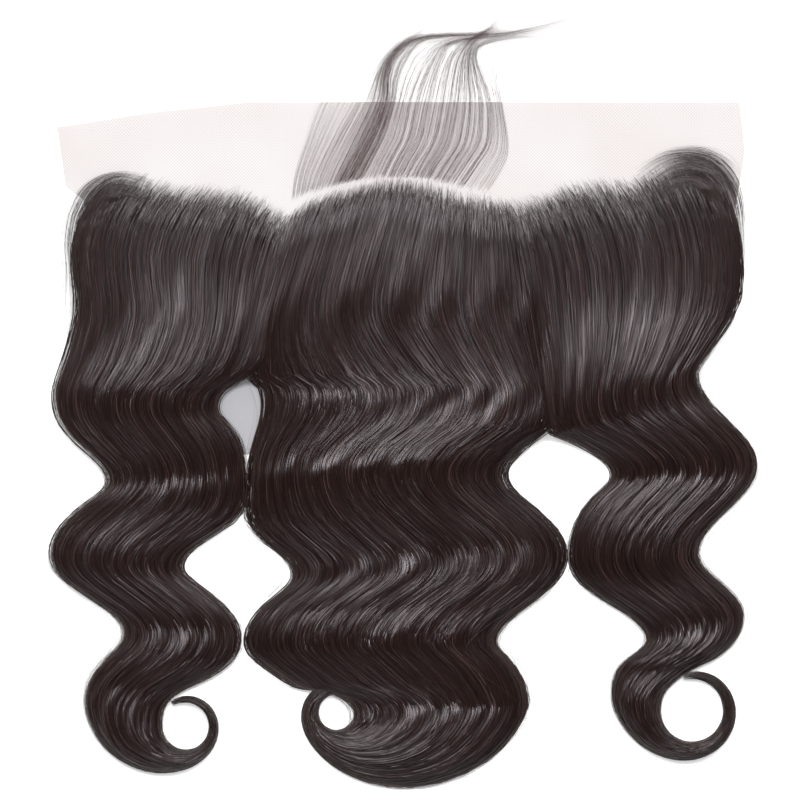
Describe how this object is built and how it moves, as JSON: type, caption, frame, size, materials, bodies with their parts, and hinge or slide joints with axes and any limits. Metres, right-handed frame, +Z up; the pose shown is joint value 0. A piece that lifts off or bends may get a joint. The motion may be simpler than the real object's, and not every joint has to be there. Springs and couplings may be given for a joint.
{
  "type": "lace frontal hairpiece",
  "caption": "Lace frontal hairpiece lying flat, hair side up: an ear-to-ear band of fine net with dark body-wave hair in three curled locks and baby hair swept forward.",
  "frame": {"origin": "on the lace's flat underside, halfway along its width, 83 mm behind its front edge", "axes": "+X to the right seen from above, +Y from the hair's tips towards the lace's front edge, +Z up, off the surface it lies on"},
  "size_m": [0.3395, 0.3853, 0.014],
  "materials": {
    "lace": "fine see-through net, matte",
    "hair": "near-black brown human hair with a soft sheen along its waves",
    "baby_hair": "fine loose dark brown hair"
  },
  "bodies": {
    "root": {"lace_base": "lace", "left_lock": "hair", "centre_lock": "hair", "right_lock": "hair", "front_wisp": "baby_hair"}
  },
  "joints": []
}
